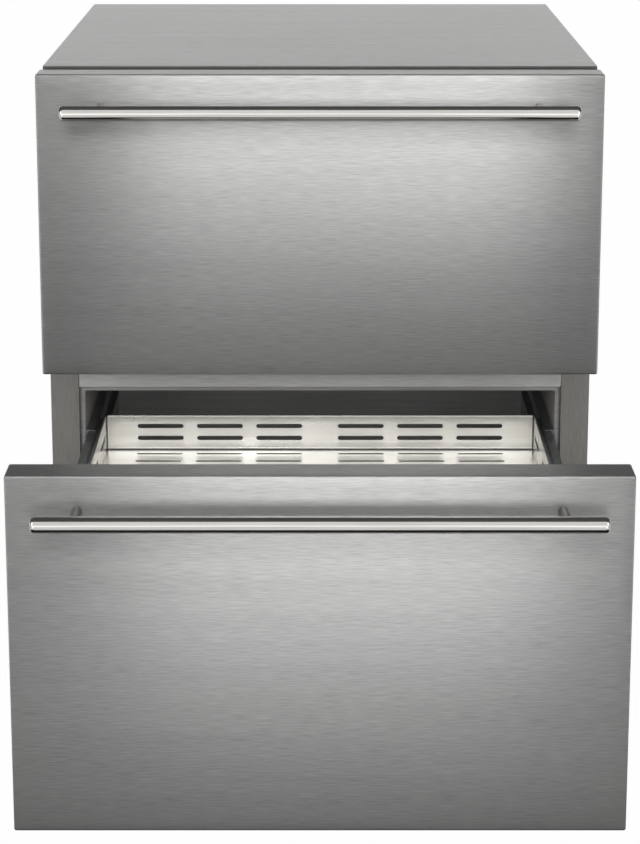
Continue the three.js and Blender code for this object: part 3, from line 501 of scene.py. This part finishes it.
def gasket(name, finish):
    """A bellows section carried round the front: each ring is the section at one inset.

    Its crown has three grooves, each as deep as the fourth power of a sine.
    """
    node = f"gasket_{name}"
    low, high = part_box(node)
    s = np.linspace(0, 1, 13)
    inset = GASKET_SHOULDER / 2 + s * (GASKET_WIDTH - GASKET_SHOULDER)
    y = high.y - GASKET_CROWN * np.abs(np.sin(3 * math.pi * s)) ** 4
    shoulder = high.y - GASKET_SHOULDER
    path = [(0.0, low.y), (0.0, shoulder), *np.stack([inset, y], -1)]
    path += [(GASKET_WIDTH, shoulder), (GASKET_WIDTH, low.y), (0.0, low.y)]

    def outline(inset):
        corner = GASKET_CORNER - inset
        return round_rectangle(high.x - inset, low.z + inset, high.z - inset, corner, 5)

    points = ring_shell(outline, path)
    faces = ring_faces(len(path), len(points) // len(path))
    piece = mesh_object(f"door_gasket_{name}", points, faces, finish)
    return settle(piece, f"drawer_{name}", node)


# ---- Bins ----


def stadium(steps=6):
    """The two arcs of a slot's outline: right end upwards, then left end downwards."""
    radius = SLOT_HEIGHT / 2
    reach = SLOT_LENGTH / 2 - radius
    right = arc(radius, -math.pi / 2, math.pi / 2, steps, (reach, 0.0))
    left = arc(radius, math.pi / 2, 1.5 * math.pi, steps, (-reach, 0.0))
    return right, left


def slotted_sheet(u_lines, v_lines, centres, bend):
    """A sheet drawn flat on (u, v) with slots, then placed in space by bend(u, v).

    The lines cut the sheet into cells. A cell that holds a slot is four faces between its
    corners and the slot's outline, and any other cell is one face.
    """
    slots = hold(u_lines, v_lines, centres)
    u, v = np.meshgrid(u_lines, v_lines, indexing="ij")
    flat = [np.stack([u.ravel(), v.ravel()], -1)]
    count, across = u.size, len(v_lines)
    faces = []
    right, left = stadium()
    turn = len(right)
    for i in range(len(u_lines) - 1):
        for j in range(across - 1):
            a, d = i * across + j, i * across + j + 1
            b, c = a + across, d + across
            middle = slots.get((i, j))
            if middle is None:
                faces.append([a, b, c, d])
                continue
            flat.append(np.concatenate([right, left]) + middle)
            up = list(range(count, count + turn))
            down = list(range(count + turn, count + 2 * turn))
            count += 2 * turn
            faces += [[a, b, up[0], down[-1]], [b, c, *up[::-1]]]
            faces += [[c, d, down[0], up[-1]], [d, a, *down[::-1]]]
    flat = np.concatenate(flat)
    return bend(flat[:, 0], flat[:, 1]), faces


def lines_round(centres, half, ends):
    """Lines just outside each slot, and at the given ends or bends of the sheet."""
    return np.sort([*ends, *(c - half for c in centres), *(c + half for c in centres)])


def hold(u_lines, v_lines, centres):
    """Which cell holds each slot centre."""
    found = {}
    for u, v in centres:
        i = int(np.searchsorted(u_lines, u) - 1)
        j = int(np.searchsorted(v_lines, v) - 1)
        found[(i, j)] = np.array([u, v])
    return found


def folded_path(corners, radii, steps=6):
    """A line through the corners with each inner corner rounded, as points and running lengths.

    At a corner the line leaves its first leg at R / tan(a / 2) before the corner and follows a
    circle of radius R to the second leg, where a is the angle between the legs.
    """
    corners = [np.array(c, float) for c in corners]
    points = [corners[0]]
    for before, corner, after, radius in zip(corners, corners[1:], corners[2:], radii):
        a = (before - corner) / np.linalg.norm(before - corner)
        b = (after - corner) / np.linalg.norm(after - corner)
        half_angle = math.acos(np.clip(a @ b, -1, 1)) / 2
        reach = radius / math.tan(half_angle)
        middle = corner + (a + b) / np.linalg.norm(a + b) * radius / math.sin(half_angle)
        first, last = corner + a * reach - middle, corner + b * reach - middle
        sweep = math.pi - 2 * half_angle
        for t in np.linspace(0, 1, steps + 1):
            turned = math.sin((1 - t) * sweep) * first + math.sin(t * sweep) * last
            points.append(middle + turned / math.sin(sweep))
    points.append(corners[-1])
    points = np.array(points)
    lengths = np.concatenate([[0.0], np.cumsum(np.linalg.norm(np.diff(points, axis=0), axis=1))])
    return points, lengths


def along(path, lengths, s):
    """Both coordinates of a path at the running lengths s."""
    return [np.interp(s, lengths, path[:, k]) for k in (0, 1)]


def length_where(path, lengths, fixed, level, value):
    """The running length at which a straight leg of a path reaches a value.

    On that leg coordinate number fixed stays at the level, and the value is the other one's.
    """
    leg = np.abs(path[:, fixed] - level) < ON_LEG
    order = np.argsort(path[leg, 1 - fixed])
    return float(np.interp(value, path[leg, 1 - fixed][order], lengths[leg][order]))


def steps_down(first, last, pitch):
    """Places from the first one down by the pitch, as long as they stay above the last."""
    places = []
    while first > last:
        places.append(first)
        first -= pitch
    return places


def bin_pan(low, high):
    """Front wall, floor and back wall of a bin as one folded sheet, slots and hems included.

    The path runs in (y, z) from the front hem down, along the floor and up to the back hem, and
    the sheet is that path carried along x.
    """
    rim = high.z - HEM_RADIUS
    t = BIN_SHEET / 2
    front, back = low.y + 2 * HEM_RADIUS + t, high.y - 2 * HEM_RADIUS - t
    floor = low.z + t + FLOOR_RISE
    out_front, out_back = low.y + t, high.y - t
    corners = [
        (out_front, rim - BIN_HEM),
        (out_front, rim),
        (front, rim),
        (front, floor),
        (back, floor),
        (back, rim),
        (out_back, rim),
        (out_back, rim - BIN_HEM),
    ]
    path, lengths = folded_path(corners, [HEM_FOLD] * 2 + [BIN_BEND] * 2 + [HEM_FOLD] * 2)
    rows = [
        length_where(path, lengths, 0, wall, high.z - below)
        for wall in (front, back)
        for below in SLOT_ROWS
    ]
    for y in steps_down(high.y - FLOOR_ROW_START, low.y + FLOOR_ROW_END, FLOOR_ROW_PITCH):
        rows.append(length_where(path, lengths, 1, floor, y))
    side = high.x - 2 * HEM_RADIUS - BIN_SHEET - PAN_PLAY
    v_lines = lines_round(rows, SLOT_HEIGHT / 2 + SLOT_BORDER, lengths)
    u_lines = lines_round(SLOT_COLUMNS, SLOT_LENGTH / 2 + SLOT_BORDER, (-side, side))
    centres = [(column, row) for column in SLOT_COLUMNS for row in rows]

    def bend(u, v):
        y, z = along(path, lengths, v)
        return np.stack([u, y, z], -1)

    return slotted_sheet(u_lines, v_lines, centres, bend)


def bin_side(low, high, side):
    """One side wall of a bin, hemmed at its rim and turned in under the floor."""
    rim = high.z - HEM_RADIUS
    t = BIN_SHEET / 2
    inner, outer = high.x - 2 * HEM_RADIUS - t, high.x - t
    floor = low.z + t
    corners = [(outer, rim - BIN_HEM), (outer, rim), (inner, rim), (inner, floor)]
    corners.append((inner - SIDE_FLANGE, floor))
    path, lengths = folded_path(corners, [HEM_FOLD, HEM_FOLD, BIN_BEND])
    row = length_where(path, lengths, 0, inner, (low.z + high.z) / 2)
    places = steps_down(high.y - SIDE_SLOT_START, low.y + SIDE_SLOT_END, SIDE_SLOT_PITCH)
    end = 2 * HEM_RADIUS + BIN_SHEET
    u_lines = lines_round(places, SLOT_LENGTH / 2 + SLOT_BORDER, (low.y + end, high.y - end))
    v_lines = lines_round([row], SLOT_HEIGHT / 2 + SLOT_BORDER, lengths)

    def bend(u, v):
        x, z = along(path, lengths, v)
        return np.stack([side * x, u, z], -1)

    return slotted_sheet(u_lines, v_lines, [(y, row) for y in places], bend)


def slotted_bin(name, finish):
    """The folded pan and the two side walls of a bin."""
    node = f"bin_{name}"
    low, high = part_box(node)
    shapes = {"pan": bin_pan(low, high)}
    shapes |= {"left": bin_side(low, high, -1), "right": bin_side(low, high, 1)}
    pieces = []
    for label, shape in shapes.items():
        piece = mesh_object(f"slotted_bin_{name}_{label}", *shape, finish)
        thicken(piece, BIN_SHEET, 0)
        soften(piece, BIN_EDGE, 1, 60)
        pieces.append(settle(piece, f"drawer_{name}", node))
    return pieces


# ---- Linings ----


def lining(name, finish):
    """The moulded lining of a compartment, a box open at the front.

    Rings of a round-cornered outline run from the flange round its lip, back along the walls
    and round the rear corner. There the inset grows as R (1 - cos t) while y nears the back as
    R (1 - sin t).
    """
    node = f"{name}_liner"
    low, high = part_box(node)
    front, back = low.y, high.y - LINER_WALL
    lip_centre = (LINER_FLANGE - LINER_LIP, front + LINER_LIP)
    rear_centre = (LINER_FLANGE + LINER_CORNER, back - LINER_CORNER)
    lip = arc(LINER_LIP, -math.pi / 2, 0, 5, lip_centre)
    rear = arc(LINER_CORNER, math.pi, math.pi / 2, 6, rear_centre)
    path = [(0.0, front), *lip, *rear, (LINER_BACK_RING, back)]

    def outline(inset):
        corner = FLANGE_CORNER if inset < LINER_FLANGE - LINER_LIP else LINER_CORNER
        return round_rectangle(high.x - inset, low.z + inset, high.z - inset, corner, 6)

    points = ring_shell(outline, path)
    faces = capped(len(path), len(points) // len(path), near=False)
    piece = mesh_object(f"{name}_lining", points, faces, finish)
    thicken(piece, LINER_SHEET, 1)
    return settle(piece, "cabinet", node)


# ---- The whole refrigerator ----


SOFTENED = {  # nodes that show their edges, with the width of the bevel
    "top_panel": 0.5 * MM,
    "left_side_panel": 0.4 * MM,
    "right_side_panel": 0.4 * MM,
    "left_stile": 0.6 * MM,
    "right_stile": 0.6 * MM,
    "top_rail": 0.6 * MM,
    "mid_rail": 0.8 * MM,
    "bottom_rail": 0.6 * MM,
    "front_liner_upper": 2.5 * MM,
    "front_liner_lower": 2.5 * MM,
    "thermostat_housing": 2.5 * MM,
    "thermostat_knob": 0.8 * MM,
    "compressor": 2.0 * MM,
    "drip_tray": 0.5 * MM,
    "power_inlet": 0.6 * MM,
    "back_panel": 0.3 * MM,
    "base_pan": 0.4 * MM,
    "toe_kick_grille": 0.4 * MM,
    "evaporator_cover": 1.0 * MM,
    "evaporator_fan_motor": 0.8 * MM,
    "condenser_fan_motor": 0.8 * MM,
}
for foot in range(1, 5):
    SOFTENED[f"levelling_foot_{foot}"] = 0.5 * MM
for side in [f"{name}_{side}" for name in DRAWERS for side in SIDES]:
    SOFTENED[f"side_rail_{side}"] = 0.3 * MM
    for channel in ("inner", "middle", "outer"):
        SOFTENED[f"slide_{channel}_{side}"] = 0.2 * MM


def dress_nodes(finishes):
    """A finish on every node, and softened copies where edges show."""
    for node, piece in frame["nodes"].items():
        finish = finishes[SLOT_OF[node]]
        if not piece.data.materials:
            piece.data.materials.append(finish)
        for index in range(len(piece.data.materials)):
            piece.data.materials[index] = finish
        if node in SOFTENED:
            dressed(node, finish)


def refrigerator(finishes):
    """Every piece; gives the groups of pieces that have lamps of their own."""
    dress_nodes(finishes)
    skins = [front_skin(name, finishes["brushed"]) for name in DRAWERS]
    bars = [handle(name, finishes["bar"], finishes["frame"]) for name in DRAWERS]
    bins = [piece for name in DRAWERS for piece in slotted_bin(name, finishes["polished"])]
    linings = [lining(name, finishes["liner"]) for name in DRAWERS]
    for name in DRAWERS:
        gasket(name, finishes["rubber"])
    pieces = {piece.name: piece for piece in bpy.context.scene.objects if piece.type == "MESH"}
    tops = [pieces["top_panel_form"], skins[0]]
    rest = [piece for piece in pieces.values() if piece not in skins + bars]
    inside = [*bins, *linings, pieces["mid_rail_form"]]
    return {"skins": skins, "bars": bars, "inside": inside, "tops": tops, "rest": rest}


# ---- Studio ----

CAMERA_PLACE = (0.0, -2.633, 1.164)
CAMERA_PITCH = 12.74
SENSOR = 36.0  # millimetres along its long side
FOCAL_PIXELS = 2405.0
PICTURE_HEIGHT = 844.0
HORIZON_PIXEL = 278.0  # height in the picture of the point that the camera faces
AMBIENT = 0.6  # how brightly the white surroundings light what isn't metal
HORIZON = 0.66  # how bright metal sees the studio's walls and its open floor
CEILING = 0.08  # how bright it sees the ceiling
WALL_FOOT = math.sin(math.radians(2))  # heights of a direction between which walls darken
WALL_HEAD = math.sin(math.radians(15))
FLOOR_GLOW = 0.985  # share of the floor's own light, which leaves only a faint shadow
FLOOR_REACH = 14.0
CARD = ((-0.75, -7.0), (0.75, -0.1))
CARD_HEIGHT = 4 * MM
ROOM_LAMPS = (  # name, place, point that it faces, width and height, radiance, pieces
    ("left", (-2.6, -1.6, 1.5), (0.0, 0.0, 0.5), (1.2, 1.6), 2.4, None),
    ("right", (2.6, -1.6, 1.5), (0.0, 0.0, 0.5), (1.2, 1.6), 1.9, None),
    ("behind", (0.0, 2.6, 2.0), (0.0, 0.2, 0.8), (6.0, 1.6), 1.5, "tops"),
    ("ground", (0.0, -3.2, 0.02), (0.0, -3.2, 1.0), (2.4, 5.4), 0.75, "rest"),
    ("overhead", (0.0, -3.1, 2.6), (0.0, -3.1, 0.0), (2.4, 5.0), 0.75, "rest"),
    ("beside_camera", (0.0, -2.4, 1.15), (0.0, -0.1, 0.4), (2.0, 1.0), 2.9, "inside"),
)
FOOT_LAMP = ((0.0, -1.263, 0.02), (0.0, -1.263, 1.0), (2.0, 1.2), 0.42)
# For each front, the small lamp's distance in front, its height over the bar's line and its
# radiance, then the wide lamp's rise in degrees and its radiance
FRONT_LAMPS = {
    "upper": (0.42, 0.03, 0.74, 27, 0.75),
    "lower": (0.6, -0.03, 0.85, 33, 0.78),
}
BAR_LINE = 0.017  # below a front's top edge, near the height of its bar
AIM_BELOW = 0.1  # under that line, where both of its lamps point
WIDE_LAMP_REACH = 0.6
BAR_LAMP_PLACE = (0.36, 0.06)  # its distance in front and its height
SMALL_LAMP_SIDE = 0.03
SMALL_LAMP = ((0.5, 0.15), 55)  # size, and beam in degrees
WIDE_LAMP = ((1.6, 0.2), 75)
BAR_LAMP = ((1.6, 1.0), 0.85)  # size and radiance


def camera():
    """Portrait frame, its sensor on the long side, shifted so that uprights stay nearly upright."""
    data = bpy.data.cameras.new("camera")
    data.sensor_width = SENSOR
    data.sensor_fit = "AUTO"
    data.lens = SENSOR * FOCAL_PIXELS / PICTURE_HEIGHT
    data.shift_y = (HORIZON_PIXEL - PICTURE_HEIGHT / 2) / PICTURE_HEIGHT
    data.clip_start, data.clip_end = 0.05, 60.0
    eye = bpy.data.objects.new("camera", data)
    eye.location = CAMERA_PLACE
    eye.rotation_euler = (math.radians(90 - CAMERA_PITCH), 0.0, 0.0)
    bpy.context.scene.collection.objects.link(eye)
    bpy.context.scene.camera = eye


def arithmetic(tree, operation, first, second):
    """One operation on two values or sockets."""
    return add(tree, "ShaderNodeMath", {"operation": operation}, {0: first, 1: second}).outputs[0]


def ray_share(tree, *kinds):
    """1 for rays of the given kinds and 0 for all others."""
    rays = add(tree, "ShaderNodeLightPath").outputs
    share = rays[kinds[0]]
    for kind in kinds[1:]:
        share = arithmetic(tree, "MAXIMUM", share, rays[kind])
    return share


def studio_world():
    """White all round to the camera, and to metal grey from the horizon up to a dim ceiling."""
    world = bpy.data.worlds.new("studio")
    bpy.context.scene.world = world
    world.use_nodes = True
    tree = world.node_tree
    back = tree.nodes["Background"]
    back.inputs["Color"].default_value = (1.0, 1.0, 1.0, 1.0)
    direction = add(tree, "ShaderNodeTexCoord").outputs["Generated"]
    height = add(tree, "ShaderNodeSeparateXYZ", inputs={"Vector": direction}).outputs["Z"]
    walls = spread(tree, height, HORIZON, CEILING, WALL_FOOT, WALL_HEAD)
    lit = mix(tree, AMBIENT, walls, ray_share(tree, "Is Glossy Ray"))
    to_lens = ray_share(tree, "Is Camera Ray", "Is Transmission Ray")
    tree.links.new(mix(tree, lit, 1.0, to_lens), back.inputs["Strength"])


def floor():
    """A pale floor, white to the camera except for the object's shadow."""
    material, tree, shader = start("pale_floor", Roughness=0.9)
    mottle = streaks(tree, [2.0] * 3)
    tree.links.new(between(tree, mottle, "f2f2f2", "fafafa"), shader.inputs["Base Color"])
    glow = add(tree, "ShaderNodeEmission", inputs={"Color": (1.0, 1.0, 1.0, 1.0)})
    to_metal = ray_share(tree, "Is Glossy Ray")
    to_lens = ray_share(tree, "Is Camera Ray", "Is Transmission Ray")
    tree.links.new(mix(tree, 1.0, HORIZON, to_metal), glow.inputs["Strength"])
    seen = arithmetic(tree, "MAXIMUM", to_metal, to_lens)
    share = arithmetic(tree, "MULTIPLY", seen, FLOOR_GLOW)
    inputs = {0: share, 1: shader.outputs[0], 2: glow.outputs[0]}
    mixed = add(tree, "ShaderNodeMixShader", inputs=inputs)
    tree.links.new(mixed.outputs[0], tree.nodes["Material Output"].inputs["Surface"])
    sheet("floor", (-FLOOR_REACH, -FLOOR_REACH), (FLOOR_REACH, FLOOR_REACH), 0.0, material)


def sheet(name, low, high, z, material):
    """A flat rectangle of the stage, facing up."""
    places = [low, (high[0], low[1]), high, (low[0], high[1])]
    corners = [(x, y, z) for x, y in places]
    plane = mesh_object(name, corners, [[0, 1, 2, 3]], material, smooth=False)
    if plane.data.polygons[0].normal.z < 0:
        plane.data.flip_normals()
    return plane


def dark_card():
    """A black studio card on the floor, which only metal sees. It darkens each front's foot."""
    material, tree, shader = start("black_card", Roughness=0.9)
    mottle = streaks(tree, [30.0] * 3)
    tree.links.new(between(tree, mottle, "1c1c1c", "242424"), shader.inputs["Base Color"])
    card = sheet("black_card", *CARD, CARD_HEIGHT, material)
    card.visible_camera = card.visible_transmission = False
    card.visible_diffuse = card.visible_shadow = False


def softbox(name, place, aim, size, radiance, pieces=None, beam=180):
    """A rectangular area lamp that faces a point, and lights only the given pieces if any.

    Its face is as bright as a wall of the given radiance, where the background is 1. A beam
    under 180 degrees gathers the same power into a narrower cone, as a grid on its front does.
    """
    data = bpy.data.lights.new(name, "AREA")
    data.shape = "RECTANGLE"
    data.size, data.size_y = size
    data.spread = math.radians(beam)
    data.energy = radiance * math.pi * size[0] * size[1]
    lamp = bpy.data.objects.new(name, data)
    lamp.location = place
    lamp.rotation_euler = (Vector(aim) - Vector(place)).to_track_quat("-Z", "Y").to_euler()
    lamp.visible_camera = False
    bpy.context.scene.collection.objects.link(lamp)
    if pieces:
        lit = bpy.data.collections.new(f"{name}_lights")
        for piece in pieces:
            lit.objects.link(piece)
        lamp.light_linking.receiver_collection = lit
    return lamp


def lamps(lit):
    """Soft lamps, most of them for some pieces only, as a photographer's flags would have it.

    Three ride with each drawer: a small one near the front's middle for its bright top, a wide
    one above for the shadow under its bar, and one for the bar alone. A lamp by the camera
    shows the bins, and one at the floor lifts the lower front's foot.
    """
    for name, place, aim, size, radiance, group in ROOM_LAMPS:
        softbox(name, place, aim, size, radiance, lit[group] if group else None)
    for name, skin, bar in zip(DRAWERS, lit["skins"], lit["bars"]):
        low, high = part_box(f"front_skin_{name}")
        y, z = low.y, high.z - BAR_LINE
        away, over, small, rise, wide = FRONT_LAMPS[name]
        out = WIDE_LAMP_REACH * math.cos(math.radians(rise))
        up = WIDE_LAMP_REACH * math.sin(math.radians(rise))
        aim = (0.0, y, z - AIM_BELOW)
        size, beam = SMALL_LAMP
        place = (SMALL_LAMP_SIDE, y - away, z + over)
        middle = softbox(f"{name}_middle", place, aim, size, small, [skin], beam)
        size, beam = WIDE_LAMP
        above = softbox(f"{name}_above", (0.0, y - out, z + up), aim, size, wide, [skin], beam)
        out, up = BAR_LAMP_PLACE
        facing = ((0.0, y - out, z + up), (0.0, y, z + up))
        before = softbox(f"{name}_bar", *facing, *BAR_LAMP, [bar])
        for lamp in (middle, above, before):
            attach(lamp, f"drawer_{name}")
    softbox("lower_foot", *FOOT_LAMP, lit["skins"][1:])


def studio(lit):
    """Camera, surroundings and lamps round the pieces."""
    bpy.context.scene.view_settings.view_transform = "Standard"
    camera()
    studio_world()
    floor()
    dark_card()
    lamps(lit)


studio(refrigerator(make_finishes()))
